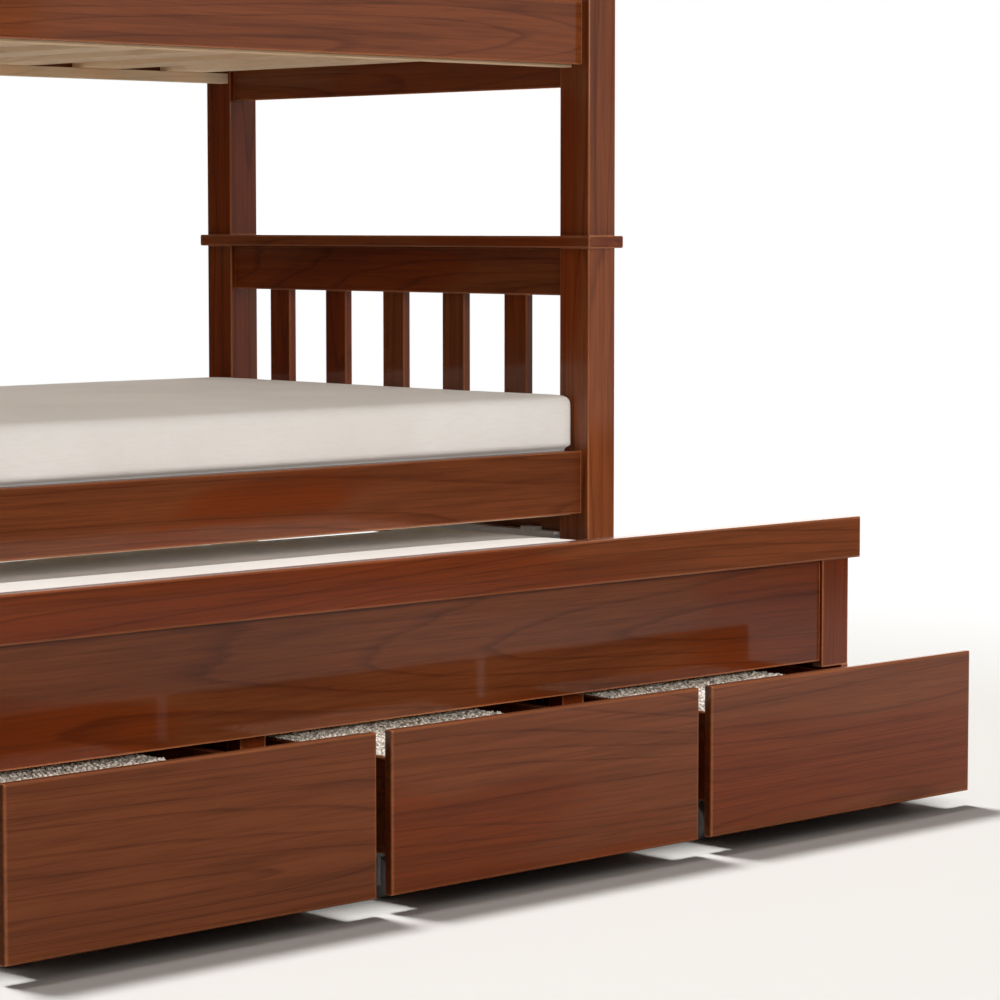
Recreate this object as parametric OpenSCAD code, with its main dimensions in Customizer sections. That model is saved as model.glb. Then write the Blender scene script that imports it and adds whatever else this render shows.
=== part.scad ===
// Bunk bed with a pull-out trundle bed, which carries three pull-out floor drawers.
// Units are millimetres. +Z is up, +X runs along the bed and -Y is the front, where the trundle comes out.
// The origin is on the floor, in the middle of the whole part with the trundle and the drawers pulled out.

/* [Bed frame] */

// Overall length over the posts
bed_l = 2070; // [1900:5:2200]
// Overall width over the posts
bed_w = 1085; // [900:5:1500]
// Size of a post along the bed
post_x = 68; // [50:1:90]
// Size of a post across the bed
post_y = 74; // [50:1:90]
// Rounding of the long edges of boards and posts
edge_r = 2.5; // [1:0.5:6]
// Thickness of the side, end and panel rails
rail_t = 26; // [18:1:40]
// Setback of the side rails behind the post fronts
rail_recess = 18; // [5:1:30]
// Setback of the end rails from the inner post faces, towards the outside
end_recess = 10; // [4:1:20]
// Overhang of the cap boards beyond the posts
cap_over = 10; // [4:1:25]
// Thickness of the cap boards
cap_h = 22; // [14:1:35]
// Height of the panel rail under each cap
panel_rail_h = 86; // [50:1:140]
// Number of upright slats in an end panel
panel_slats = 5; // [3:1:9]
// Width of an upright slat
panel_slat_w = 60; // [30:1:90]
// Thickness of an upright slat
panel_slat_t = 17; // [10:1:24]
// Spacing of the upright slats
panel_slat_pitch = 168; // [100:1:200]

/* [Bunks] */

// Height of the side rails
side_rail_h = 114; // [80:1:160]
// Underside of the lower side rails
lower_rail_z = 421; // [380:1:500]
// Underside of the lower end rails
lower_end_z = 350; // [300:1:400]
// Underside of the lower cap boards
lower_cap_z = 900; // [800:1:1000]
// Underside of the upper side rails
upper_rail_z = 1228; // [1150:1:1300]
// Underside of the upper end rails
upper_end_z = 1189; // [1150:1:1228]
// Underside of the top cap boards
top_cap_z = 1650; // [1500:1:1750]
// Width of a ledger under the bed slats
ledger_w = 24; // [15:1:40]
// Height of a ledger
ledger_h = 20; // [15:1:40]
// Distance that the ledgers reach below the side rails
ledger_drop = 4; // [0:1:10]
// Number of bed slats
bed_slats = 9; // [7:1:15]
// Width of a bed slat
bed_slat_w = 95; // [60:1:120]
// Thickness of a bed slat
bed_slat_t = 18; // [12:1:25]
// Spacing of the bed slats
bed_slat_pitch = 215; // [120:1:240]
// Top of the lower mattress
lower_mattress_top = 640; // [560:1:700]
// Top of the upper mattress
upper_mattress_top = 1400; // [1360:1:1450]
// Corner radius of the mattresses in plan
mattress_r = 30; // [10:1:60]

/* [Guards and ladder] */

// Height of a guard board
guard_h = 70; // [50:1:100]
// Thickness of a guard board
guard_t = 20; // [15:1:30]
// Underside of the lower guard board
guard_z1 = 1430; // [1400:1:1480]
// Underside of the upper guard board
guard_z2 = 1564; // [1530:1:1600]
// Left outer face of the ladder
ladder_x = -925; // [-950:1:-700]
// Width over the ladder stringers
ladder_w = 398; // [300:1:450]
// Thickness of a stringer along the bed
stringer_t = 28; // [20:1:40]
// Depth of a stringer across the bed
stringer_d = 40; // [30:1:60]
// Lower end of the stringers
ladder_z0 = 468; // [462:1:520]
// Upper end of the stringers
ladder_z1 = 1640; // [1500:1:1700]
// Height of the first rung's underside
rung_z = 585; // [550:1:650]
// Spacing of the rungs
rung_pitch = 240; // [200:1:300]
// Number of rungs
rungs = 4; // [3:1:5]

/* [Trundle] */

// Distance the trundle is pulled out of its closed place
trundle_out = 640; // [0:5:900]
// Clearance between the trundle's front and the inner post faces
trundle_gap = 14; // [6:1:30]
// Depth of the trundle from front to back
trundle_d = 1030; // [800:5:1050]
// Thickness of the trundle's top rail
top_rail_t = 28; // [20:1:40]
// Height of the trundle's top rail
top_rail_h = 68; // [50:1:90]
// Top of the trundle's top rail
top_rail_top = 458; // [440:1:480]
// Width of an end stile
stile_w = 65; // [45:1:90]
// Distance from the top rail's end to the stile
stile_inset = 20; // [10:1:50]
// Underside of the stiles
stile_z = 212; // [209:1:220]
// Underside of the front panel and the deck
deck_z = 222; // [215:1:260]
// Thickness of the trundle's side and back boards
side_t = 15; // [12:1:20]
// Top of the trundle's side and back boards
side_top = 340; // [300:1:380]
// Thickness of the deck
deck_t = 12; // [9:1:20]
// Top of the trundle mattress
trundle_mattress_top = 385; // [330:1:390]
// Width of the middle legs
leg_w = 46; // [30:1:60]

/* [Drawers] */

// Distance the drawers are pulled out of their closed place
drawer_out = 224; // [0:1:500]
// Gap between two drawer fronts
drawer_gap = 27; // [5:1:40]
// Thickness of a drawer front
front_t = 16; // [12:1:22]
// Rounding of the edges of a drawer front
front_r = 3.5; // [1:0.5:6]
// Underside of a drawer front
front_z = 25; // [10:1:40]
// Top of a drawer front
front_top = 254; // [230:1:280]
// Distance from a drawer front's edge to the box behind it
box_inset = 48; // [40:1:80]
// Thickness of the box walls
wall_t = 12; // [9:1:18]
// Thickness of the box bottom
bottom_t = 8; // [4:1:12]
// Underside of the box
box_z = 68; // [66:1:80]
// Top of the box walls
box_top = 203; // [150:1:206]
// Depth of the box
box_d = 560; // [300:5:600]
// Free width beside the folded throw
throw_free = 72; // [60:1:200]
// Top of the folded throw
throw_top = 205; // [150:1:207]

/* [Casters] */

// Radius of a wheel
wheel_r = 30; // [20:1:30]
// Width of a wheel
wheel_w = 16; // [10:1:20]
// Radius of an axle
axle_r = 4; // [3:0.5:5]
// Radial running clearance on an axle
axle_play = 0.08; // [0.02:0.01:0.1]
// Thickness of a fork's cheek plates
cheek_t = 2.5; // [1.5:0.5:4]

/* [Output] */

// Node to draw

/* [Hidden] */

$fn = 48;

bed_x = bed_l / 2;
trundle_x = bed_x - post_x - trundle_gap;
closed_y = top_rail_t - rail_recess + 1;
// The front of the open drawers, measured from the post fronts
reach = closed_y + trundle_out + 10 + drawer_out;
// The post fronts, placed so that the open part is centred on the origin
y0 = (reach - bed_w - cap_over) / 2;
y_back = y0 + bed_w;

lower_rail_top = lower_rail_z + side_rail_h;
upper_rail_top = upper_rail_z + side_rail_h;
lower_slats_z = lower_rail_z - ledger_drop + ledger_h;
upper_slats_z = upper_rail_z - ledger_drop + ledger_h;
end_inner = bed_x - post_x + end_recess;
slat_inner = end_inner + 6;

trundle_y = y0 - closed_y - trundle_out;
trundle_back = trundle_y + trundle_d;
side_outer = trundle_x - stile_inset;
panel_back = trundle_y + top_rail_t;
stile_front = trundle_y + 8;
panel_front = trundle_y + 14;
leg_y = panel_back + 18;
leg_d = 30;
divider_t = 18;

drawer_w = (2 * trundle_x - 2 * drawer_gap) / 3;
drawer_pitch = drawer_w + drawer_gap;
drawer_y = trundle_y - 10 - drawer_out;
box_y = drawer_y + front_t;

fork_top = box_z - 2;
cheek_in = wheel_w / 2 + 1.5;
fork_half = cheek_in + cheek_t;
front_axle_y = leg_y + leg_d / 2;
back_axle_y = trundle_back - 30;
caster_inset = box_inset + 20;
drawer_axle_1 = drawer_y + 100;
drawer_axle_2 = box_y + box_d - 40;

wood = [0.40, 0.15, 0.07];
pale = [0.80, 0.68, 0.50];
cloth = [0.93, 0.92, 0.90];
throw_cloth = [0.72, 0.66, 0.55];
steel = [0.75, 0.75, 0.76];
grey = [0.45, 0.44, 0.44];

// A rectangle with rounded corners
module profile(a, b, r) {
    translate([r, 0])
        square([a - 2 * r, b]);
    translate([0, r])
        square([a, b - 2 * r]);
    for (x = [r, a - r], y = [r, b - r])
        translate([x, y])
            circle(r);
}

// A board along X with rounded long edges
module board_x(x0, x1, ya, yb, za, zb, r = edge_r) {
    translate([x0, ya, za])
        rotate([90, 0, 90])
            linear_extrude(x1 - x0)
                profile(yb - ya, zb - za, r);
}

// A board along Y with rounded long edges
module board_y(x0, x1, ya, yb, za, zb, r = edge_r) {
    translate([x0, yb, za])
        rotate([90, 0, 0])
            linear_extrude(yb - ya)
                profile(x1 - x0, zb - za, r);
}

// An upright board with rounded long edges
module board_z(x0, x1, ya, yb, za, zb, r = edge_r) {
    translate([x0, ya, za])
        linear_extrude(zb - za)
            profile(x1 - x0, yb - ya, r);
}

// A plain block
module block(x0, x1, ya, yb, za, zb) {
    translate([x0, ya, za])
        cube([x1 - x0, yb - ya, zb - za]);
}

// The same shape at the right end and mirrored to the left end
module both_ends() {
    children();
    mirror([1, 0, 0])
        children();
}

// One post at the right end, at the front or the back
module post(front, za, zb) {
    ya = front ? y0 : y_back - post_y;
    board_z(bed_x - post_x, bed_x, ya, ya + post_y, za, zb);
}

module lower_post_front_right() {
    color(wood)
        post(true, 0, lower_cap_z);
}

module lower_post_back_right() {
    color(wood)
        post(false, 0, lower_cap_z);
}

module lower_post_front_left() {
    mirror([1, 0, 0])
        lower_post_front_right();
}

module lower_post_back_left() {
    mirror([1, 0, 0])
        lower_post_back_right();
}

module upper_posts(front) {
    color(wood)
        both_ends()
            post(front, lower_cap_z + cap_h, top_cap_z);
}

// Cross rails between the front and back posts of both ends
module end_rails(za, zb) {
    color(wood)
        both_ends()
            board_y(end_inner, end_inner + rail_t, y0 + post_y, y_back - post_y, za, zb);
}

// Upright slats of both end panels
module end_slats(za, zb) {
    color(wood)
        both_ends()
            for (i = [0 : panel_slats - 1]) {
                mid = y0 + bed_w / 2 + (i - (panel_slats - 1) / 2) * panel_slat_pitch;
                board_z(slat_inner, slat_inner + panel_slat_t,
                        mid - panel_slat_w / 2, mid + panel_slat_w / 2, za, zb);
            }
}

// Cap boards over both ends
module caps(za) {
    color(wood)
        both_ends()
            board_y(bed_x - post_x - cap_over, bed_x + cap_over,
                    y0 - cap_over, y_back + cap_over, za, za + cap_h, 4);
}

// A side rail between the posts, at the front or the back
module side_rail(front, za) {
    ya = front ? y0 + rail_recess : y_back - rail_recess - rail_t;
    color(wood)
        board_x(post_x - bed_x, bed_x - post_x, ya, ya + rail_t, za, za + side_rail_h);
}

// Two ledgers on the inner faces of the side rails
module ledgers(za) {
    color(pale)
        for (ya = [y0 + rail_recess + rail_t, y_back - rail_recess - rail_t - ledger_w])
            board_x(post_x - bed_x, bed_x - post_x, ya, ya + ledger_w, za, za + ledger_h, 1.5);
}

// Cross slats that lie on the ledgers
module cross_slats(za) {
    color(pale)
        for (i = [0 : bed_slats - 1]) {
            mid = (i - (bed_slats - 1) / 2) * bed_slat_pitch;
            board_y(mid - bed_slat_w / 2, mid + bed_slat_w / 2,
                    y0 + rail_recess + rail_t + 2, y_back - rail_recess - rail_t - 2,
                    za, za + bed_slat_t, 2);
        }
}

// A mattress with rounded corners in plan
module mattress(x, ya, yb, za, zb) {
    color(cloth)
        board_z(-x, x, ya, yb, za, zb, mattress_r);
}

module lower_mattress() {
    mattress(bed_x - post_x - 1, y0 + rail_recess + rail_t + 3, y_back - rail_recess - rail_t - 3,
             lower_slats_z + bed_slat_t, lower_mattress_top);
}

module upper_mattress() {
    mattress(bed_x - post_x - 1, y0 + rail_recess + rail_t + guard_t + 3,
             y_back - rail_recess - rail_t - guard_t - 3,
             upper_slats_z + bed_slat_t, upper_mattress_top);
}

// Steel angles on the lower end rails that guide the trundle, with small stop brackets
module guide_rails() {
    color(steel)
        both_ends()
            union() {
                block(end_inner - 22, end_inner, y0 + post_y + 2, y_back - post_y - 2, 380, 384);
                block(end_inner - 4, end_inner, y0 + post_y + 2, y_back - post_y - 2, 356, 384);
                for (ya = [y0 + 130, y_back - 165])
                    block(end_inner - 20, end_inner, ya, ya + 35, 384, 390);
            }
}

// A pair of guard boards, tied by uprights that stand on the inner face of a side rail
module guard(front, xa, xb, uprights) {
    ya = front ? y0 + rail_recess + rail_t : y_back - rail_recess - rail_t - guard_t;
    yb = ya + guard_t;
    color(wood) {
        for (za = [guard_z1, guard_z2])
            board_x(xa, xb, front ? ya - guard_t : yb, front ? ya : yb + guard_t, za, za + guard_h);
        for (x = uprights)
            board_z(x - 30, x + 30, ya, yb, upper_slats_z + bed_slat_t + 2, guard_z2 + guard_h);
    }
}

module guard_front() {
    guard(true, ladder_x + ladder_w + 10, bed_x - post_x, [ladder_x + ladder_w + 40, 720]);
}

module guard_back() {
    guard(false, post_x - bed_x, bed_x - post_x, [-720, 720]);
}

module ladder_stringers() {
    yb = y0 + rail_recess;
    color(wood)
        for (x = [ladder_x, ladder_x + ladder_w - stringer_t])
            board_z(x, x + stringer_t, yb - stringer_d, yb, ladder_z0, ladder_z1);
}

module ladder_rungs() {
    yb = y0 + rail_recess;
    color(wood)
        for (i = [0 : rungs - 1])
            board_x(ladder_x + stringer_t, ladder_x + ladder_w - stringer_t,
                    yb - stringer_d + 3, yb - 3, rung_z + i * rung_pitch, rung_z + i * rung_pitch + 24, 4);
}

// Round bolt heads on the outer faces of the posts, two at the end of each side rail
module bed_bolts() {
    color(steel)
        both_ends()
            for (za = [lower_rail_z, upper_rail_z], dz = [32, 82],
                 y = [y0 + rail_recess + rail_t / 2, y_back - rail_recess - rail_t / 2])
                translate([bed_x, y, za + dz])
                    rotate([0, 90, 0])
                        cylinder(h = 3, r = 8);
}

module trundle_top_rail() {
    color(wood)
        board_x(-trundle_x, trundle_x, trundle_y, panel_back, top_rail_top - top_rail_h, top_rail_top, 3);
}

module trundle_panel() {
    color(wood)
        block(-side_outer + stile_w, side_outer - stile_w, panel_front, panel_back,
              deck_z, top_rail_top - top_rail_h);
}

module trundle_stiles() {
    color(wood)
        both_ends()
            board_z(side_outer - stile_w, side_outer, stile_front, panel_back,
                    stile_z, top_rail_top - top_rail_h, 1.5);
}

// Side boards, which reach forward below the stiles
module trundle_sides() {
    color(wood)
        both_ends()
            union() {
                block(side_outer - side_t, side_outer, panel_back, trundle_back, fork_top, side_top);
                block(side_outer - side_t, side_outer, stile_front, panel_back, fork_top, stile_z);
            }
}

// Legs behind the front panel and boards behind them, between the drawers
module trundle_dividers() {
    color(wood)
        for (x = [-drawer_pitch / 2, drawer_pitch / 2])
            union() {
                block(x - leg_w / 2, x + leg_w / 2, leg_y, leg_y + leg_d, fork_top, deck_z);
                block(x - divider_t / 2, x + divider_t / 2, leg_y + leg_d, trundle_back - side_t,
                      fork_top, deck_z);
            }
}

module trundle_back_board() {
    color(wood)
        block(-side_outer + side_t, side_outer - side_t, trundle_back - side_t, trundle_back,
              fork_top, side_top);
}

module trundle_deck() {
    color(pale)
        block(-side_outer + side_t, side_outer - side_t, panel_back, trundle_back - side_t,
              deck_z, deck_z + deck_t);
}

module trundle_mattress() {
    mattress(side_outer - side_t - 3, panel_back + 3, trundle_back - side_t - 3,
             deck_z + deck_t, trundle_mattress_top);
}

// A caster fork: a top plate, two cheeks and the axle
module fork(x, y) {
    translate([x, y, 0]) {
        block(-fork_half, fork_half, -18, 18, fork_top - 4, fork_top);
        for (side = [-1, 1])
            translate([side * (cheek_in + cheek_t / 2), 0, 0])
                block(-cheek_t / 2, cheek_t / 2, -12, 12, wheel_r - 10, fork_top - 4);
        translate([-fork_half, 0, wheel_r])
            rotate([0, 90, 0])
                cylinder(h = 2 * fork_half, r = axle_r);
    }
}

// A caster wheel with a bore for the axle and a shallow recess on each side
module wheel(x, y) {
    translate([x - wheel_w / 2, y, wheel_r])
        rotate([0, 90, 0])
            difference() {
                cylinder(h = wheel_w, r = wheel_r, $fn = 96);
                translate([0, 0, -1])
                    cylinder(h = wheel_w + 2, r = axle_r + axle_play);
                for (z = [-1, wheel_w - 2])
                    translate([0, 0, z])
                        difference() {
                            cylinder(h = 3, r = wheel_r - 7);
                            translate([0, 0, -1])
                                cylinder(h = 5, r = axle_r + 5);
                        }
            }
}

// The four places of the trundle's casters along X
trundle_casters = [-side_outer + side_t / 2 + 0.5, -drawer_pitch / 2, drawer_pitch / 2,
                   side_outer - side_t / 2 - 0.5];

module trundle_forks(y) {
    color(steel)
        for (x = trundle_casters)
            union()
                fork(x, y);
}

module trundle_wheels(y) {
    color(grey)
        for (x = trundle_casters)
            wheel(x, y);
}

// One drawer front, rounded over all round its face; i is -1, 0 or 1
module drawer_front(i) {
    x0 = i * drawer_pitch - drawer_w / 2;
    color(wood)
        intersection() {
            board_x(x0, x0 + drawer_w, drawer_y, box_y, front_z, front_top, front_r);
            board_z(x0, x0 + drawer_w, drawer_y, box_y, front_z, front_top, front_r);
        }
}

// The open box behind a drawer front
module drawer_box(i) {
    x1 = drawer_w / 2 - box_inset;
    color(wood)
        translate([i * drawer_pitch, 0, 0])
            difference() {
                block(-x1, x1, box_y, box_y + box_d, box_z, box_top);
                block(wall_t - x1, x1 - wall_t, box_y + wall_t, box_y + box_d - wall_t,
                      box_z + bottom_t, box_top + 1);
            }
}

// The folded throw that fills most of a drawer
module drawer_throw(i) {
    x1 = drawer_w / 2 - box_inset - wall_t;
    color(throw_cloth)
        translate([i * drawer_pitch, 0, 0])
            board_z(1 - x1, x1 - throw_free, box_y + wall_t + 2, box_y + box_d - wall_t - 2,
                    box_z + bottom_t, throw_top, 12);
}

module drawer_forks(i) {
    color(steel)
        for (side = [-1, 1], y = [drawer_axle_1, drawer_axle_2])
            union() {
                x = i * drawer_pitch + side * (drawer_w / 2 - caster_inset);
                fork(x, y);
                block(x - fork_half, x + fork_half, y - 18, y + 18, fork_top, box_z);
            }
}

module drawer_wheels(i, y) {
    color(grey)
        for (side = [-1, 1])
            wheel(i * drawer_pitch + side * (drawer_w / 2 - caster_inset), y);
}

lower_post_front_left();
lower_post_front_right();
lower_post_back_left();
lower_post_back_right();
end_rails(lower_end_z, lower_rail_top);  // lower_end_rails
end_rails(lower_cap_z - panel_rail_h, lower_cap_z);  // lower_panel_rails
end_slats(lower_rail_top, lower_cap_z - panel_rail_h);  // lower_panel_slats
caps(lower_cap_z);  // lower_caps
side_rail(true, lower_rail_z);  // lower_rail_front
side_rail(false, lower_rail_z);  // lower_rail_back
ledgers(lower_rail_z - ledger_drop);  // lower_ledgers
cross_slats(lower_slats_z);  // lower_bed_slats
lower_mattress();
guide_rails();
upper_posts(true);  // upper_posts_front
upper_posts(false);  // upper_posts_back
end_rails(upper_end_z, upper_rail_top);  // upper_end_rails
end_rails(top_cap_z - panel_rail_h, top_cap_z);  // upper_panel_rails
end_slats(upper_rail_top, top_cap_z - panel_rail_h);  // upper_panel_slats
caps(top_cap_z);  // top_caps
side_rail(true, upper_rail_z);  // upper_rail_front
side_rail(false, upper_rail_z);  // upper_rail_back
ledgers(upper_rail_z - ledger_drop);  // upper_ledgers
cross_slats(upper_slats_z);  // upper_bed_slats
upper_mattress();
guard_front();
guard_back();
ladder_stringers();
ladder_rungs();
bed_bolts();
trundle_top_rail();
trundle_panel();
trundle_stiles();
trundle_sides();
trundle_dividers();
trundle_back_board();
trundle_deck();
trundle_mattress();
trundle_forks(front_axle_y);  // trundle_forks_front
trundle_forks(back_axle_y);  // trundle_forks_back
trundle_wheels(front_axle_y);  // trundle_wheels_front
trundle_wheels(back_axle_y);  // trundle_wheels_back
drawer_front(-1);  // left_drawer_front
drawer_box(-1);  // left_drawer_box
drawer_throw(-1);  // left_drawer_throw
drawer_forks(-1);  // left_drawer_forks
drawer_wheels(-1, drawer_axle_1);  // left_drawer_wheels_front
drawer_wheels(-1, drawer_axle_2);  // left_drawer_wheels_back
drawer_front(0);  // middle_drawer_front
drawer_box(0);  // middle_drawer_box
drawer_throw(0);  // middle_drawer_throw
drawer_forks(0);  // middle_drawer_forks
drawer_wheels(0, drawer_axle_1);  // middle_drawer_wheels_front
drawer_wheels(0, drawer_axle_2);  // middle_drawer_wheels_back
drawer_front(1);  // right_drawer_front
drawer_box(1);  // right_drawer_box
drawer_throw(1);  // right_drawer_throw
drawer_forks(1);  // right_drawer_forks
drawer_wheels(1, drawer_axle_1);  // right_drawer_wheels_front
drawer_wheels(1, drawer_axle_2);  // right_drawer_wheels_back
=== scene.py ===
"""Looks for the bunk bed with a pull-out trundle and floor drawers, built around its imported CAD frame."""

import math

import bmesh
import bpy
import numpy as np
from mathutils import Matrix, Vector

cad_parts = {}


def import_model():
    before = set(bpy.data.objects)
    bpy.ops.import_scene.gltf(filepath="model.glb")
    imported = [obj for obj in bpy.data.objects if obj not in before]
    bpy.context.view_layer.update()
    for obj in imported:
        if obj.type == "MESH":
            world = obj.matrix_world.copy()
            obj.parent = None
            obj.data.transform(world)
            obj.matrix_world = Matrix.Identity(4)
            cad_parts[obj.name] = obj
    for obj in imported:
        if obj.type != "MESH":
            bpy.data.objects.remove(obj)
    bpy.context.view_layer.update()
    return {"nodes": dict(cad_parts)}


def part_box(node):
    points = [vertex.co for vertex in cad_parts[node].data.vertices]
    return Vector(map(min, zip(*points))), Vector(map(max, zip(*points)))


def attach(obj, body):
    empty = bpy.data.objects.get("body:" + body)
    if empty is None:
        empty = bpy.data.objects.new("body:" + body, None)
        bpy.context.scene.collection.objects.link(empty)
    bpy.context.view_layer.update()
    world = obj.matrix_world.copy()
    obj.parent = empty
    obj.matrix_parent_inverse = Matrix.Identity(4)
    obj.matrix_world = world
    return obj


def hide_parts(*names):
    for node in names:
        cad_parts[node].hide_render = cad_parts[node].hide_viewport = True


# Camera at the angle of the reference view
CAMERA_AT = (-3.383, -4.404, 0.943)
CAMERA_AZIMUTH = 43.845
CAMERA_PITCH = -4.645
CAMERA_LENS = 122.2
CAMERA_SENSOR = 36
CAMERA_FAR = 200

# Soft pieces
MATTRESS_EDGE = 0.016
MATTRESS_STEP = 0.0130
MATTRESS_LOW = 0.005
MATTRESS_SWELL = 0.003
MATTRESS_WAVE = 0.0012
SWELL_PRESSURE = 4.0
SWELL_STEPS = 20
# Each mattress: its body, how far its middle rises, and how far its long sides bulge over the rails
MATTRESSES = {
    "lower_mattress": ("bed", 0.001, 0.0185),
    "upper_mattress": ("bed", 0.003, 0.0),
    "trundle_mattress": ("trundle", 0.004, 0.0),
}
# Where the bulge starts and how soon it is full, in half heights above the mattress's middle
BULGE_START = -0.11
BULGE_RISE = 0.06
THROW_LAYERS = 4
THROW_EDGE = 0.010
THROW_LOOP = 0.0085
THROW_STEP = 0.0025
THROW_DEPTH = 0.0065
THROW_FOLD = 0.0065
THROW_RIPPLE = 0.0005
THROW_CLEARANCE = 0.001

# Shades of the stained wood: greyer with painted sheen, plain, and saturated; and the dark lines of its
# grain
WOOD_SHADES = ((0.200, 0.052, 0.0140), (0.190, 0.037, 0.0060), (0.180, 0.029, 0.0032))
WOOD_DARK = (0.030, 0.0048, 0.0012)
# Painted highlight along the edges of the boards
WOOD_EDGE_HIGHLIGHT = (0.64, 0.24, 0.10)
EDGE_HIGHLIGHT_RADIUS = 0.0042
# Boards painted lighter or darker than the rest: partly their own tone, partly painted light and shade
# matched to how brightly each board is lit
WOOD_TONE_AND_LIGHT = {
    "lower_post_front_left": 1.3,
    "lower_post_front_right": 1.3,
    "upper_posts_front": 1.05,
    "upper_rail_front": 1.12,
    "lower_rail_front": 0.86,
    "trundle_top_rail": 0.90,
    "trundle_stiles": 0.84,
    "trundle_panel": 0.78,
    "left_drawer_front": 0.72,
    "middle_drawer_front": 0.76,
    "right_drawer_front": 0.78,
}

# Shades of the other materials, from dark to light, and the darker lines or gaps in them
PINE_SHADES = ((0.80, 0.56, 0.34), (0.86, 0.64, 0.42), (0.90, 0.71, 0.50))
PINE_DARK = (0.50, 0.32, 0.17)
COVER_SHADES = ((0.80, 0.775, 0.745), (0.87, 0.850, 0.825))
COVER_SLUB = (0.66, 0.62, 0.57)
COVER_GAP = (0.55, 0.51, 0.47)
# The wool from the hollows to the tips of its loops, darker down in the hollows as painted shade, and the
# painted shade in the gaps between loops
WOOL_SHADED_BY_HEIGHT = ((0.34, 0.26, 0.19), (0.74, 0.63, 0.50), (0.99, 0.94, 0.86))
WOOL_GAP_SHADE = (0.10, 0.07, 0.05)
WOOL_FUZZ = (0.74, 0.66, 0.55)
PLASTIC_SHADES = ((0.235, 0.225, 0.225), (0.335, 0.325, 0.322))
STEEL_SHADES = ((0.72, 0.72, 0.72), (0.86, 0.86, 0.85))

FLOOR_RADIUS = 7.0
FLOOR_FADE = (1.9, 3.6)
FLOOR_COLOUR = (0.80, 0.793, 0.775)
# The painted reflection of the floor, bright only in front and brighter towards +X: how bright it is, where
# it starts, where it is brightest and how far it reaches
FLOOR_MIRRORED = 0.80
FLOOR_FRONT = (-0.9, -1.2)
FLOOR_SIDE = (0.0, 2.0)
FLOOR_REACH = (3.4, 5.0)
# The floor's own colour far out, where it glows for the camera, and the dark part of its painted reflection
FLOOR_DARK = (0.02, 0.02, 0.02)
# Strength of the sky at the horizon and overhead
SKY_LIGHT = (0.03, 0.22)
SKY_COLOUR = (1.0, 0.93, 0.85)

# Lamps: place, target, size, watts and colour
PANELS = {
    "front": ((0.6, -6.0, 2.6), (0.1, -0.3, 0.5), (4.0, 2.6), 225, (1.0, 0.965, 0.93)),
    "overhead": ((0.0, 0.2, 4.6), (0.0, 0.2, 0.0), (3.0, 2.6), 20, (1.0, 0.88, 0.76)),
    "behind": ((5.6, 5.8, 2.0), (0.0, 0.0, 0.7), (6.0, 3.4), 130, (1.0, 0.96, 0.92)),
    "upper": ((0.0, 0.3, 4.5), (0.0, 0.3, 0.0), (3.0, 2.6), 45, (1.0, 0.95, 0.9)),
    "under": ((-1.6, -3.4, 0.3), (-0.4, 0.4, 1.24), (1.6, 0.8), 7, (1.0, 0.95, 0.9)),
    "gloss": ((6.5, -5.9, 1.3), (1.0, -0.1, 1.2), (4.0, 2.4), 17, (1, 1, 1)),
}
# Suns: slope along Y for each metre down, strength, and width in degrees
SUNS = {
    "steep_sun": (-0.10, 0.45, 4),
    "low_sun": (-0.40, 2.95, 12),
    "trundle_sun": (0.12, 2.2, 5),
    "throw_sun": (4.0, 1.5, 4),
}
SUN_COLOUR = (1.0, 0.99, 0.97)

DRAWERS = ("left", "middle", "right")


# ---------------------------------------------------------------- node trees


def new_material(name):
    """An empty node material with its output and a Principled shader."""
    mat = bpy.data.materials.new(name)
    mat.use_nodes = True
    tree = mat.node_tree
    tree.nodes.clear()
    out = tree.nodes.new("ShaderNodeOutputMaterial")
    shader = tree.nodes.new("ShaderNodeBsdfPrincipled")
    tree.links.new(shader.outputs["BSDF"], out.inputs["Surface"])
    return mat, tree, shader


def object_coordinates(tree, scale=(1, 1, 1), offset=(0, 0, 0)):
    """Coordinates that stay with the piece as it moves, scaled and shifted."""
    coords = tree.nodes.new("ShaderNodeTexCoord")
    mapping = tree.nodes.new("ShaderNodeMapping")
    mapping.inputs["Scale"].default_value = scale
    mapping.inputs["Location"].default_value = offset
    tree.links.new(coords.outputs["Object"], mapping.inputs["Vector"])
    return mapping.outputs["Vector"]


def noise(tree, vector, scale, detail=3.0, roughness=0.5, distortion=0.0):
    """Smooth noise, from 0 to 1."""
    node = tree.nodes.new("ShaderNodeTexNoise")
    node.inputs["Scale"].default_value = scale
    node.inputs["Detail"].default_value = detail
    node.inputs["Roughness"].default_value = roughness
    node.inputs["Distortion"].default_value = distortion
    tree.links.new(vector, node.inputs["Vector"])
    return node.outputs["Fac"]


def ramp(tree, value, stops):
    """A colour ramp with (position, colour) stops."""
    node = tree.nodes.new("ShaderNodeValToRGB")
    elements = node.color_ramp.elements
    while len(elements) < len(stops):
        elements.new(0.5)
    for element, (position, colour) in zip(elements, stops):
        element.position = position
        element.color = (*colour, 1)
    tree.links.new(value, node.inputs["Fac"])
    return node.outputs["Color"]


def levels(tree, value, low, high, to_low=0.0, to_high=1.0):
    """Maps a range of values to another, held at its ends."""
    node = tree.nodes.new("ShaderNodeMapRange")
    node.inputs["From Min"].default_value = low
    node.inputs["From Max"].default_value = high
    node.inputs["To Min"].default_value = to_low
    node.inputs["To Max"].default_value = to_high
    tree.links.new(value, node.inputs["Value"])
    return node.outputs["Result"]


def maths(tree, operation, *values):
    """One arithmetic step on sockets or plain numbers."""
    node = tree.nodes.new("ShaderNodeMath")
    node.operation = operation
    for socket, value in zip(node.inputs, values):
        if isinstance(value, (int, float)):
            socket.default_value = value
        else:
            tree.links.new(value, socket)
    return node.outputs["Value"]


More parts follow.
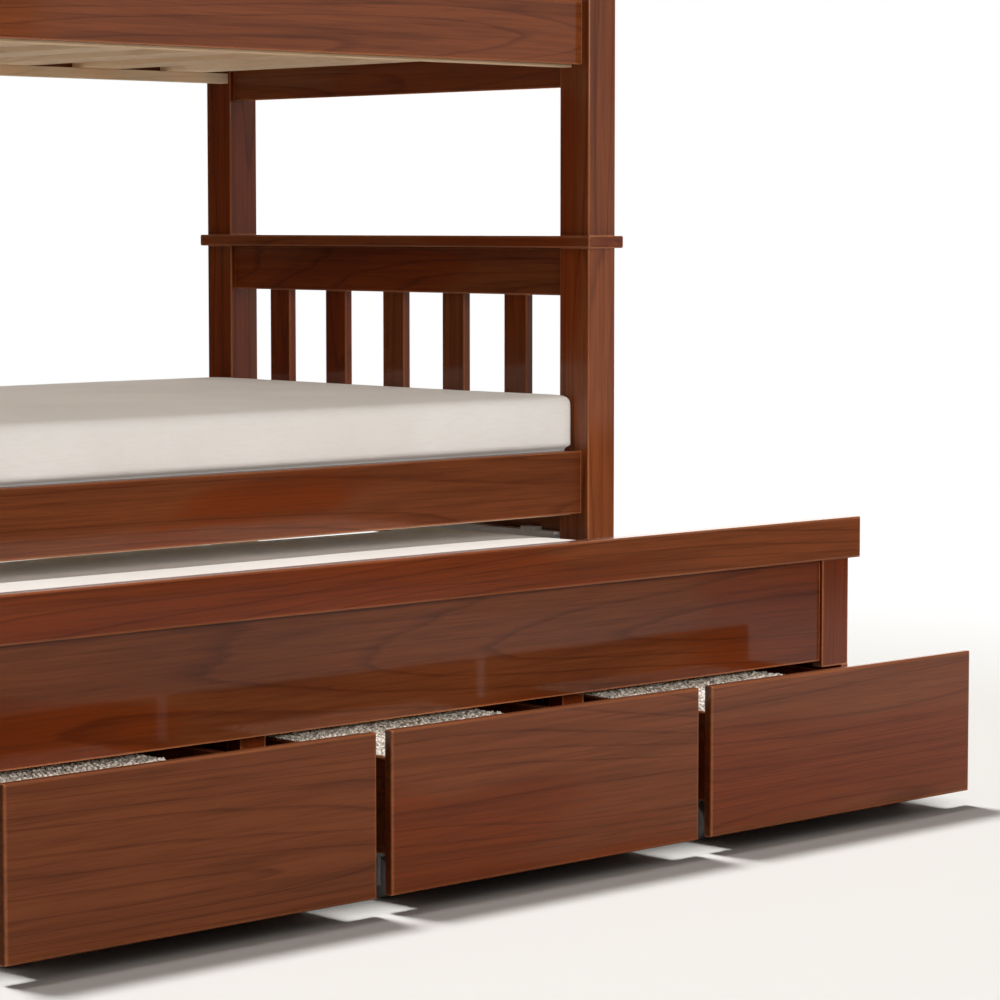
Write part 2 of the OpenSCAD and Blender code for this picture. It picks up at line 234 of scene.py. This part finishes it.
def mix_colour(tree, factor, a, b, blend="MIX"):
    """Blends two colours, given as sockets or as tuples."""
    node = tree.nodes.new("ShaderNodeMix")
    node.data_type = "RGBA"
    node.blend_type = blend
    for socket, value in ((node.inputs[0], factor), (node.inputs[6], a), (node.inputs[7], b)):
        if isinstance(value, (int, float)):
            socket.default_value = value
        elif isinstance(value, tuple):
            socket.default_value = (*value, 1)
        else:
            tree.links.new(value, socket)
    return node.outputs[2]


def bump(tree, height, strength, distance, normal=None):
    """A normal bent by a height, on top of another normal if one is given."""
    node = tree.nodes.new("ShaderNodeBump")
    node.inputs["Strength"].default_value = strength
    node.inputs["Distance"].default_value = distance
    tree.links.new(height, node.inputs["Height"])
    if normal is not None:
        tree.links.new(normal, node.inputs["Normal"])
    return node.outputs["Normal"]


# ---------------------------------------------------------------- materials


def along(axis, length, across):
    """A scale for a pattern that is stretched along one axis of the wood."""
    return tuple(length if i == axis else across for i in range(3))


def board_coordinates(tree, axis, length, shift=(0, 0, 0)):
    """Coordinates stretched along the grain, from a different part of the log for each board."""
    info = tree.nodes.new("ShaderNodeObjectInfo")
    place = tree.nodes.new("ShaderNodeVectorMath")
    place.operation = "MULTIPLY_ADD"
    tree.links.new(info.outputs["Random"], place.inputs[0])
    place.inputs[1].default_value = (17.0, 11.0, 23.0)
    tree.links.new(object_coordinates(tree, along(axis, length, 1.0), shift), place.inputs[2])
    return place.outputs["Vector"]


def grain(tree, axis):
    """Flames, growth lines, fibres, streaks and slow drift of a board cut along one axis, from 0 to 1."""
    field = noise(tree, board_coordinates(tree, axis, 0.075), 4.6, 1.4, 0.35, 0.12)
    ragged = noise(tree, board_coordinates(tree, axis, 0.05), 60.0, 3.0, 0.6)
    wavy = maths(tree, "MULTIPLY_ADD", ragged, 0.012, field)
    flames = maths(tree, "FRACT", maths(tree, "MULTIPLY", wavy, 9.0))
    flames = maths(
        tree, "MULTIPLY", levels(tree, flames, 0.50, 0.53), levels(tree, flames, 0.70, 0.98, 1.0, 0.0)
    )
    rings = maths(tree, "FRACT", maths(tree, "MULTIPLY", wavy, 27.0))
    lines = maths(
        tree, "MULTIPLY", levels(tree, rings, 0.80, 0.94), levels(tree, rings, 0.95, 1.0, 1.0, 0.0)
    )
    fibres = noise(tree, board_coordinates(tree, axis, 0.028), 230.0, 3.0, 0.62)
    streaks = noise(tree, board_coordinates(tree, axis, 0.030), 60.0, 4.0, 0.65)
    drift = noise(tree, board_coordinates(tree, axis, 0.22, (3.1, 5.7, 1.9)), 4.0, 2.0)
    return flames, lines, fibres, streaks, drift


def highlight_edges(tree):
    """How near a point is to an edge of its board, from 0 to 1, for the painted edge highlight."""
    bevel = tree.nodes.new("ShaderNodeBevel")
    bevel.samples = 4
    bevel.inputs["Radius"].default_value = EDGE_HIGHLIGHT_RADIUS
    surface = tree.nodes.new("ShaderNodeNewGeometry")
    same = tree.nodes.new("ShaderNodeVectorMath")
    same.operation = "DOT_PRODUCT"
    tree.links.new(bevel.outputs["Normal"], same.inputs[0])
    tree.links.new(surface.outputs["Normal"], same.inputs[1])
    return levels(tree, same.outputs["Value"], 0.99, 0.93)


def stained_wood(axis, tone_and_light):
    """Reddish-brown stained wood under a glossy lacquer, with its grain along one axis."""
    mat, tree, shader = new_material("stained_wood_" + "xyz"[axis])
    flames, lines, fibres, streaks, drift = grain(tree, axis)
    # Each board's tone, partly painted light and shade for how brightly that board is lit
    sheened, plain, saturated = (tuple(tone_and_light * c for c in shade) for shade in WOOD_SHADES)
    # Slow random patches of the three shades; the greyer one is painted sheen on the lacquer
    sheen_patches = maths(tree, "MULTIPLY_ADD", fibres, 0.10, drift)
    base = ramp(tree, sheen_patches, [(0.40, saturated), (0.525, plain), (0.55, sheened)])
    burnt = mix_colour(tree, maths(tree, "MULTIPLY", flames, 0.13), base, WOOD_DARK)
    streaked = mix_colour(tree, levels(tree, streaks, 0.46, 0.74, 0.0, 0.40), burnt, WOOD_DARK)
    lined = mix_colour(tree, maths(tree, "MULTIPLY", lines, 0.38), streaked, WOOD_DARK)
    fine = mix_colour(tree, levels(tree, fibres, 0.44, 0.72, 0.0, 0.35), lined, WOOD_DARK)
    # Painted highlight along the board edges, a little weaker over the dark streaks
    painted_edge_highlight = maths(tree, "MULTIPLY", highlight_edges(tree), levels(tree, streaks, 0.3, 0.6, 0.90, 0.60))
    tree.links.new(mix_colour(tree, painted_edge_highlight, fine, WOOD_EDGE_HIGHLIGHT), shader.inputs["Base Color"])
    tree.links.new(levels(tree, fibres, 0.3, 0.7, 0.36, 0.50), shader.inputs["Roughness"])
    shader.inputs["Specular IOR Level"].default_value = 0.05
    shader.inputs["Coat Weight"].default_value = 0.65
    shader.inputs["Coat Roughness"].default_value = 0.07
    ripple = noise(tree, board_coordinates(tree, axis, 0.35), 8.0, 2.0)
    soft = bump(tree, ripple, 0.10, 0.004)
    tree.links.new(bump(tree, fibres, 0.10, 0.0006, soft), shader.inputs["Normal"])
    tree.links.new(bump(tree, streaks, 0.06, 0.0010, soft), shader.inputs["Coat Normal"])
    return mat


def pale_wood(axis):
    """Bare pale pine with its grain along one axis."""
    mat, tree, shader = new_material("pale_wood_" + "xyz"[axis])
    _, lines, fibres, streaks, drift = grain(tree, axis)
    base = ramp(tree, drift, list(zip((0.3, 0.5, 0.7), PINE_SHADES)))
    lined = mix_colour(tree, maths(tree, "MULTIPLY", lines, 0.25), base, PINE_DARK)
    streaked = mix_colour(tree, levels(tree, streaks, 0.5, 0.8, 0.0, 0.2), lined, PINE_DARK)
    tree.links.new(streaked, shader.inputs["Base Color"])
    tree.links.new(levels(tree, fibres, 0.3, 0.7, 0.5, 0.68), shader.inputs["Roughness"])
    tree.links.new(bump(tree, fibres, 0.25, 0.0007), shader.inputs["Normal"])
    return mat


def weave(tree, pitch):
    """The height of a plain weave of that pitch, on any face, from 0 to 1."""
    vector = object_coordinates(tree, (1 / pitch,) * 3)
    parts = tree.nodes.new("ShaderNodeSeparateXYZ")
    tree.links.new(vector, parts.inputs["Vector"])
    x, y, z = (maths(tree, "SINE", maths(tree, "MULTIPLY", parts.outputs[i], math.tau)) for i in range(3))
    warp = maths(tree, "MULTIPLY", x, maths(tree, "ADD", y, z))
    return levels(tree, warp, -1.5, 1.5)


def mattress_fabric():
    """Plain off-white woven cover."""
    mat, tree, shader = new_material("mattress_fabric")
    cloud = noise(tree, object_coordinates(tree), 3.0, 3.0)
    slub = noise(tree, object_coordinates(tree, (0.12, 1.0, 1.0)), 320.0, 2.0)
    threads = weave(tree, 0.0016)
    base = ramp(tree, cloud, list(zip((0.35, 0.65), COVER_SHADES)))
    worn = mix_colour(tree, levels(tree, slub, 0.45, 0.75, 0.0, 0.16), base, COVER_SLUB)
    colour = mix_colour(tree, levels(tree, threads, 0.0, 0.5, 0.14, 0.0), worn, COVER_GAP)
    tree.links.new(colour, shader.inputs["Base Color"])
    tree.links.new(levels(tree, threads, 0.0, 1.0, 0.92, 0.80), shader.inputs["Roughness"])
    shader.inputs["Sheen Weight"].default_value = 0.20
    shader.inputs["Sheen Roughness"].default_value = 0.5
    soft = bump(tree, cloud, 0.15, 0.006)
    tree.links.new(bump(tree, threads, 0.30, 0.0005, soft), shader.inputs["Normal"])
    return mat


def throw_textile():
    """Beige looped knit; its loops are in the mesh, and their height drives painted shade, darker down in
    the hollows, with painted shade in the gaps between loops.
    """
    mat, tree, shader = new_material("throw_textile")
    height = tree.nodes.new("ShaderNodeAttribute")
    height.attribute_name = "loop_height"
    curls = tree.nodes.new("ShaderNodeTexVoronoi")
    curls.inputs["Scale"].default_value = 170.0
    tree.links.new(object_coordinates(tree), curls.inputs["Vector"])
    yarn = noise(tree, object_coordinates(tree), 900.0, 2.0)
    # Painted shade: the loops darker towards their hollows and in the gaps between them
    shaded_by_height = ramp(tree, height.outputs["Fac"], list(zip((0.05, 0.30, 0.50), WOOL_SHADED_BY_HEIGHT)))
    gaps = levels(tree, curls.outputs["Distance"], 0.40, 0.68, 0.0, 0.88)
    gap_shaded = mix_colour(tree, gaps, shaded_by_height, WOOL_GAP_SHADE)
    colour = mix_colour(tree, levels(tree, yarn, 0.4, 0.7, 0.0, 0.3), gap_shaded, WOOL_FUZZ)
    tree.links.new(colour, shader.inputs["Base Color"])
    tree.links.new(levels(tree, yarn, 0.3, 0.7, 0.85, 0.98), shader.inputs["Roughness"])
    shader.inputs["Sheen Weight"].default_value = 0.3
    shader.inputs["Sheen Roughness"].default_value = 0.6
    tree.links.new(bump(tree, yarn, 0.5, 0.0012), shader.inputs["Normal"])
    return mat


def caster_grey():
    """Matt grey moulded plastic with a fine moulding texture."""
    mat, tree, shader = new_material("caster_grey")
    fine = noise(tree, object_coordinates(tree), 700.0, 2.0)
    dust = noise(tree, object_coordinates(tree), 60.0, 3.0)
    base = ramp(tree, dust, list(zip((0.35, 0.7), PLASTIC_SHADES)))
    tree.links.new(base, shader.inputs["Base Color"])
    tree.links.new(levels(tree, fine, 0.3, 0.7, 0.48, 0.66), shader.inputs["Roughness"])
    tree.links.new(bump(tree, fine, 0.15, 0.0004), shader.inputs["Normal"])
    return mat


def steel():
    """Bright zinc-plated steel with faint rolling marks."""
    mat, tree, shader = new_material("steel")
    marks = noise(tree, object_coordinates(tree, (1.0, 0.06, 1.0)), 240.0, 3.0)
    clouds = noise(tree, object_coordinates(tree), 35.0, 3.0)
    base = ramp(tree, clouds, list(zip((0.3, 0.7), STEEL_SHADES)))
    tree.links.new(base, shader.inputs["Base Color"])
    shader.inputs["Metallic"].default_value = 0.6
    tree.links.new(levels(tree, marks, 0.3, 0.7, 0.28, 0.46), shader.inputs["Roughness"])
    tree.links.new(bump(tree, marks, 0.12, 0.0004), shader.inputs["Normal"])
    return mat


def floor_material():
    """Pale plain floor that ends in white for the camera; in reflections it is a painted reflection, bright
    only in its front part.
    """
    mat, tree, shader = new_material("floor")
    place = object_coordinates(tree)
    length = tree.nodes.new("ShaderNodeVectorMath")
    length.operation = "LENGTH"
    tree.links.new(place, length.inputs[0])
    parts = tree.nodes.new("ShaderNodeSeparateXYZ")
    tree.links.new(place, parts.inputs["Vector"])
    path = tree.nodes.new("ShaderNodeLightPath")
    far = levels(tree, length.outputs["Value"], *FLOOR_FADE)
    seen = mix_colour(tree, far, FLOOR_COLOUR, FLOOR_DARK)
    # Painted reflection: bright in front, brighter towards +X, fading far out, and dark elsewhere
    lit = levels(tree, parts.outputs["Y"], *FLOOR_FRONT)
    lit = maths(tree, "MULTIPLY", lit, levels(tree, parts.outputs["X"], *FLOOR_SIDE, 0.3, 1.0))
    lit = maths(tree, "MULTIPLY", lit, levels(tree, length.outputs["Value"], *FLOOR_REACH, 1.0, 0.0))
    mirrored = mix_colour(tree, lit, FLOOR_DARK, tuple(FLOOR_MIRRORED * c for c in FLOOR_COLOUR))
    colour = mix_colour(tree, path.outputs["Is Glossy Ray"], seen, mirrored)
    tree.links.new(colour, shader.inputs["Base Color"])
    shader.inputs["Roughness"].default_value = 0.6
    shader.inputs["Specular IOR Level"].default_value = 0.2
    shader.inputs["Emission Color"].default_value = (1, 1, 1, 1)
    glow = maths(tree, "MULTIPLY", far, path.outputs["Is Camera Ray"])
    tree.links.new(glow, shader.inputs["Emission Strength"])
    return mat


# ---------------------------------------------------------------- geometry


def coordinates(mesh):
    """A mesh's points, one row each."""
    flat = np.zeros(len(mesh.vertices) * 3)
    mesh.vertices.foreach_get("co", flat)
    return flat.reshape(-1, 3)


def set_coordinates(mesh, points):
    """Moves a mesh's points."""
    mesh.vertices.foreach_set("co", np.asarray(points).ravel())
    mesh.update()


def new_piece(name, mesh, material):
    """A new object in the scene, with its one material."""
    piece = bpy.data.objects.new(name, mesh)
    bpy.context.scene.collection.objects.link(piece)
    mesh.materials.clear()
    mesh.materials.append(material)
    return piece


def shade_smooth(mesh):
    mesh.polygons.foreach_set("use_smooth", [True] * len(mesh.polygons))


def apply_modifiers(piece):
    """Replaces a piece's mesh with its evaluated one and removes its modifiers."""
    bpy.context.view_layer.update()
    graph = bpy.context.evaluated_depsgraph_get()
    done = bpy.data.meshes.new_from_object(piece.evaluated_get(graph))
    materials = list(piece.data.materials)
    piece.modifiers.clear()
    old = piece.data
    piece.data = done
    done.name = piece.name
    done.materials.clear()
    for material in materials:
        done.materials.append(material)
    bpy.data.meshes.remove(old)


def swell(piece, pressure, reach, low, high):
    """Swells a closed piece with cloth simulation, by at most reach at any point, inside a box."""
    start = coordinates(piece.data)
    cloth = piece.modifiers.new("swell", "CLOTH")
    settings = cloth.settings
    settings.quality = 5
    settings.mass = 0.4
    settings.tension_stiffness = 25
    settings.compression_stiffness = 25
    settings.bending_stiffness = 2.0
    settings.use_pressure = True
    settings.uniform_pressure_force = pressure
    settings.effector_weights.gravity = 0
    cloth.point_cache.frame_start = 1
    cloth.point_cache.frame_end = SWELL_STEPS
    scene = bpy.context.scene
    for step in range(1, SWELL_STEPS + 1):
        scene.frame_set(step)
    graph = bpy.context.evaluated_depsgraph_get()
    moved = coordinates(piece.evaluated_get(graph).data) - start
    distance = np.linalg.norm(moved, axis=1)
    moved *= (reach * np.tanh(distance / reach) / np.maximum(distance, 1e-9))[:, None]
    piece.modifiers.clear()
    scene.frame_set(1)
    set_coordinates(piece.data, np.clip(start + moved, np.array(low), np.array(high)))


def subdivide(piece):
    """Smooths a piece by one level of subdivision."""
    modifier = piece.modifiers.new("smooth", "SUBSURF")
    modifier.levels = 1
    modifier.render_levels = 1
    apply_modifiers(piece)


def rounded_grid(name, low, high, radius, step, material):
    """A closed box with rounded edges, covered in a fine grid, and the outward direction of its points."""
    counts = [max(6, int(round((high[i] - low[i]) / step))) for i in range(3)]
    keys, order, faces = {}, [], []
    for axis in range(3):
        a, b = (axis + 1) % 3, (axis + 2) % 3
        for end in (0, counts[axis]):
            index = np.zeros((counts[a] + 1, counts[b] + 1), int)
            for r, c in np.ndindex(index.shape):
                key = [0, 0, 0]
                key[axis], key[a], key[b] = end, r, c
                key = tuple(key)
                if key not in keys:
                    keys[key] = len(order)
                    order.append(key)
                index[r, c] = keys[key]
            quads = np.stack((index[:-1, :-1], index[1:, :-1], index[1:, 1:], index[:-1, 1:]), axis=-1)
            quads = quads.reshape(-1, 4)
            faces.extend((quads if end else quads[:, ::-1]).tolist())
    low, high = np.array(low), np.array(high)
    lattice = np.array(order, float) / np.array(counts) * (high - low) + low
    core = np.clip(lattice, low + radius, high - radius)
    away = lattice - core
    outward = away / np.maximum(np.linalg.norm(away, axis=1), 1e-9)[:, None]
    mesh = bpy.data.meshes.new(name)
    mesh.from_pydata((core + outward * radius).tolist(), [], faces)
    shade_smooth(mesh)
    return new_piece(name, mesh, material), outward


def mattress(node, body, lift, overhang, material):
    """A foam mattress in a fabric cover: flat below, crowned above, with soft rounded edges."""
    low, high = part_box(node)
    piece, _ = rounded_grid(
        node + "_cover",
        low,
        high - Vector((0, 0, MATTRESS_LOW)),
        MATTRESS_EDGE,
        MATTRESS_STEP,
        material,
    )
    swell(piece, SWELL_PRESSURE, MATTRESS_SWELL, low, high + Vector((0, 0, lift)))
    subdivide(piece)
    crown(piece, low, high, lift, overhang)
    shade_smooth(piece.data)
    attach(piece, body)
    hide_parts(node)
    return piece


def crown(piece, low, high, lift, overhang):
    """Lifts the top towards the middle, and lets the long sides bulge over what holds them below."""
    points = coordinates(piece.data)
    centre = np.array((low + high) / 2)
    half = np.array((high - low) / 2)
    u = (points - centre) / half
    top = np.clip((u[:, 2] - 0.2) / 0.8, 0, 1)
    dome = np.clip(1 - u[:, 0] ** 4, 0, 1) * np.clip(1 - u[:, 1] ** 4, 0, 1)
    waves = MATTRESS_WAVE * np.sin(points[:, 0] * 5.3 + 0.7) * np.sin(points[:, 1] * 6.1)
    points[:, 2] += top * (lift * dome + waves)
    free = np.clip((u[:, 2] - BULGE_START) / BULGE_RISE, 0, 1)
    side = np.clip((np.abs(u[:, 1]) - 0.90) / 0.07, 0, 1) * free
    bulge = overhang * (1 - 0.08 * np.cos(points[:, 0] * 6.5) ** 2)
    points[:, 1] += np.sign(u[:, 1]) * side * bulge
    set_coordinates(piece.data, points)


def scatter(a, b, seed):
    """A repeatable value from 0 to 1 for each pair of whole numbers."""
    return np.modf(np.abs(np.sin(a * 12.9898 + b * 78.233 + seed)) * 43758.5453)[0]


def loops(points, outward):
    """The height of wool loops at each point, from 0 to 1, in uneven staggered rows on every face."""
    weights = np.abs(outward) ** 4
    weights /= weights.sum(axis=1)[:, None]
    height = np.zeros(len(points))
    for axis in range(3):
        a = points[:, (axis + 1) % 3] / THROW_LOOP
        b = points[:, (axis + 2) % 3] / THROW_LOOP
        row = np.floor(b)
        a = a + 0.5 * (row % 2) + 0.25 * scatter(row, 0 * row, 3.0)
        column = np.floor(a)
        across = np.sin(np.pi * (a - column))
        down = np.sin(np.pi * (b - row))
        size = 0.45 + 0.55 * scatter(column, row, axis)
        height += weights[:, axis] * size * (across * down) ** 0.6
    return height


def throw(side, material):
    """A wool throw folded into layers, lying in a drawer."""
    node = side + "_drawer_throw"
    low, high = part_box(node)
    inner = Vector((THROW_CLEARANCE, THROW_CLEARANCE, 0))
    piece, outward = rounded_grid(
        node + "_knit", low + inner, high - inner, THROW_EDGE, THROW_STEP, material
    )
    points = coordinates(piece.data)
    z = (points[:, 2] - low.z) / (high.z - low.z)
    sideways = 1 - np.abs(outward[:, 2])
    layer = np.abs(np.sin(np.pi * z * THROW_LAYERS)) ** 0.45
    wave = np.sin(points[:, 0] * 21 + 1.3) * np.sin(points[:, 1] * 17 + 0.4)
    height = loops(points, outward)
    grooves = THROW_FOLD * sideways * (1 - layer)
    depth = grooves + THROW_DEPTH * (1 - height) + THROW_RIPPLE * (1 + wave)
    set_coordinates(piece.data, points - outward * depth[:, None])
    attribute = piece.data.attributes.new("loop_height", "FLOAT", "POINT")
    attribute.data.foreach_set("value", height.astype(np.float32))
    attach(piece, side + "_drawer")
    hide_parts(node)
    return piece


# ---------------------------------------------------------------- the object


def paint(piece, material):
    """Makes a material the piece's only one."""
    piece.data.materials.clear()
    piece.data.materials.append(material)


def grain_axis(name):
    """The axis that a stained board's grain runs along."""
    if "post" in name or "panel_slats" in name or name in ("trundle_stiles", "ladder_stringers"):
        return 2
    if "end_rails" in name or "panel_rails" in name or "caps" in name:
        return 1
    if name in ("trundle_sides", "trundle_dividers"):
        return 1
    return 0


def paint_frame(nodes):
    """Gives every CAD node the material of its board, with the grain along the board."""
    wood = {}
    pine = [pale_wood(0), pale_wood(1)]
    grey = caster_grey()
    metal = steel()
    for name, piece in nodes.items():
        if "wheels" in name:
            paint(piece, grey)
        elif "forks" in name or name in ("guide_rails", "bed_bolts"):
            paint(piece, metal)
        elif "ledgers" in name:
            paint(piece, pine[0])
        elif "bed_slats" in name or name == "trundle_deck":
            paint(piece, pine[1])
        else:
            key = (grain_axis(name), WOOD_TONE_AND_LIGHT.get(name, 1.0))
            if key not in wood:
                wood[key] = stained_wood(*key)
            paint(piece, wood[key])


# ---------------------------------------------------------------- the studio


def aim(obj, target):
    """Turns a lamp towards a point."""
    obj.rotation_euler = (Vector(target) - obj.location).to_track_quat("-Z", "Y").to_euler()


def area_light(name, at, target, size, power, colour):
    """A rectangular lamp that the camera does not see."""
    data = bpy.data.lights.new(name, "AREA")
    data.shape = "RECTANGLE"
    data.size, data.size_y = size
    data.energy = power
    data.color = colour
    lamp = bpy.data.objects.new(name, data)
    bpy.context.scene.collection.objects.link(lamp)
    lamp.location = at
    lamp.visible_camera = False
    aim(lamp, target)
    return lamp


def sun(name, direction, strength, angle, colour):
    """A sun that shines in a direction."""
    data = bpy.data.lights.new(name, "SUN")
    data.energy = strength
    data.angle = math.radians(angle)
    data.color = colour
    lamp = bpy.data.objects.new(name, data)
    bpy.context.scene.collection.objects.link(lamp)
    lamp.rotation_euler = Vector(direction).to_track_quat("-Z", "Y").to_euler()
    return lamp


def surroundings():
    """White behind the object, and for its light a soft sky that is dim at the horizon."""
    world = bpy.data.worlds.new("studio")
    bpy.context.scene.world = world
    world.use_nodes = True
    tree = world.node_tree
    tree.nodes.clear()
    out = tree.nodes.new("ShaderNodeOutputWorld")
    path = tree.nodes.new("ShaderNodeLightPath")
    coords = tree.nodes.new("ShaderNodeTexCoord")
    direction = tree.nodes.new("ShaderNodeSeparateXYZ")
    tree.links.new(coords.outputs["Generated"], direction.inputs["Vector"])
    light = tree.nodes.new("ShaderNodeBackground")
    light.inputs["Color"].default_value = (*SKY_COLOUR, 1)
    glow = levels(tree, direction.outputs["Z"], 0.0, 0.8, *SKY_LIGHT)
    tree.links.new(glow, light.inputs["Strength"])
    white = tree.nodes.new("ShaderNodeBackground")
    white.inputs["Color"].default_value = (1, 1, 1, 1)
    mix = tree.nodes.new("ShaderNodeMixShader")
    tree.links.new(path.outputs["Is Camera Ray"], mix.inputs["Fac"])
    tree.links.new(light.outputs["Background"], mix.inputs[1])
    tree.links.new(white.outputs["Background"], mix.inputs[2])
    tree.links.new(mix.outputs["Shader"], out.inputs["Surface"])


def group(name, pieces, state="INCLUDE"):
    """A collection for light linking, whose pieces are lit or shade, or are left out."""
    collection = bpy.data.collections.new(name)
    for piece in pieces:
        collection.objects.link(piece)
    for member in collection.collection_objects:
        member.light_linking.link_state = state
    return collection


def lights(upper_pieces, low_pieces, trundle_pieces, throws, pale_pieces, plane):
    """Soft lights all round for the object, and small suns for the floor, the trundle and its drawers."""
    unlit = group("not_lit_by_panels", [plane], "EXCLUDE")
    lamps = {name: area_light(name, *values) for name, values in PANELS.items()}
    for name in ("front", "overhead", "behind"):
        lamps[name].light_linking.receiver_collection = unlit
    shading_overhead = group("shading_overhead", [*low_pieces, *trundle_pieces])
    lamps["overhead"].light_linking.blocker_collection = shading_overhead
    lamps["upper"].light_linking.receiver_collection = group("lit_by_upper", upper_pieces)
    lamps["under"].light_linking.receiver_collection = group("lit_by_under", pale_pieces)
    shading = group("shading_suns", [*low_pieces, *trundle_pieces, *throws])
    only_floor = group("lit_by_floor_suns", [plane])
    lit = {
        "steep_sun": only_floor,
        "low_sun": only_floor,
        "trundle_sun": group("lit_by_trundle_sun", [*trundle_pieces, *throws]),
        "throw_sun": group("lit_by_throw_sun", throws),
    }
    for name, (slope, strength, angle) in SUNS.items():
        lamp = sun(name, (0, slope, -1.0), strength, angle, SUN_COLOUR)
        lamp.light_linking.receiver_collection = lit[name]
        lamp.light_linking.blocker_collection = shading


def floor():
    """A round floor that is part of the studio, not of the object."""
    mesh = bpy.data.meshes.new("floor")
    form = bmesh.new()
    bmesh.ops.create_circle(form, cap_ends=True, segments=96, radius=FLOOR_RADIUS)
    form.to_mesh(mesh)
    form.free()
    mesh.materials.append(floor_material())
    plane = bpy.data.objects.new("floor", mesh)
    bpy.context.scene.collection.objects.link(plane)
    return plane


def camera():
    """The camera of the reference view."""
    data = bpy.data.cameras.new("camera")
    data.lens = CAMERA_LENS
    data.sensor_width = CAMERA_SENSOR
    data.clip_end = CAMERA_FAR
    cam = bpy.data.objects.new("camera", data)
    bpy.context.scene.collection.objects.link(cam)
    cam.location = CAMERA_AT
    azimuth, pitch = math.radians(CAMERA_AZIMUTH), math.radians(CAMERA_PITCH)
    forward = Vector(
        (math.sin(azimuth) * math.cos(pitch), math.cos(azimuth) * math.cos(pitch), math.sin(pitch))
    )
    cam.rotation_euler = forward.to_track_quat("-Z", "Y").to_euler()
    bpy.context.scene.camera = cam


def main():
    """Loads the CAD frame, gives it its materials and soft pieces, and sets up the studio round it."""
    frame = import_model()
    camera()
    nodes = frame["nodes"]
    paint_frame(nodes)
    cover = mattress_fabric()
    soft = {name: mattress(name, *shape, cover) for name, shape in MATTRESSES.items()}
    knit = throw_textile()
    throws = [throw(side, knit) for side in DRAWERS]
    surroundings()
    upper = [piece for name, piece in nodes.items() if name.startswith(("upper", "guard", "ladder"))]
    low = [piece for name, piece in nodes.items() if name.startswith("lower")]
    trundle = [piece for name, piece in nodes.items() if name.startswith(("trundle", *DRAWERS))]
    pale = [nodes["upper_bed_slats"], nodes["upper_ledgers"]]
    upper.append(soft["upper_mattress"])
    low.append(soft["lower_mattress"])
    trundle.append(soft["trundle_mattress"])
    lights(upper, low, trundle, throws, pale, floor())
    bpy.context.scene.view_settings.view_transform = "Standard"


main()
